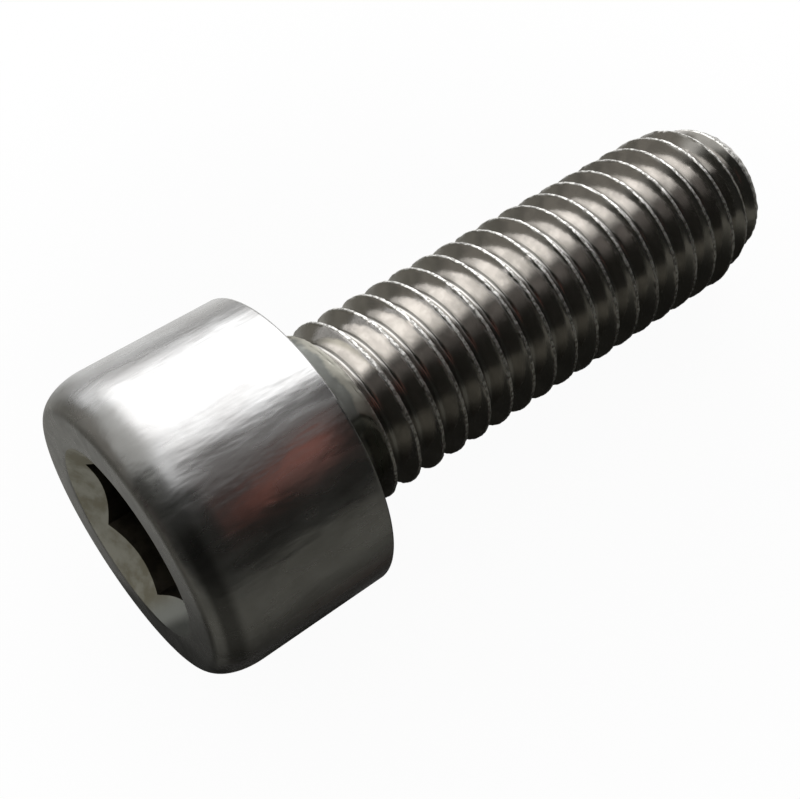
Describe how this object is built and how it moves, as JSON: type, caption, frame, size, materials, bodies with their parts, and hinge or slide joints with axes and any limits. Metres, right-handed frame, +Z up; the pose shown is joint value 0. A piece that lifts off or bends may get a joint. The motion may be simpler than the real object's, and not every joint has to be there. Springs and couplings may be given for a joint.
{
  "type": "hex socket cap screw",
  "caption": "One-piece socket head cap screw: smooth cylindrical head with a rounded rim and countersunk hexagon socket, fully threaded metric shank with a chamfered tip.",
  "frame": {"origin": "on the surface that the screw lies on, under the middle of its length", "axes": "the screw's axis lies in the XZ plane: socket end towards -X, tip towards +X and 6.44 degrees down from level, because the head is wider than the thread; +Z is up"},
  "size_m": [0.0334, 0.013, 0.0136],
  "materials": {
    "steel": "satin, lightly marked"
  },
  "bodies": {
    "root": {"cap_screw": "steel"}
  },
  "joints": []
}
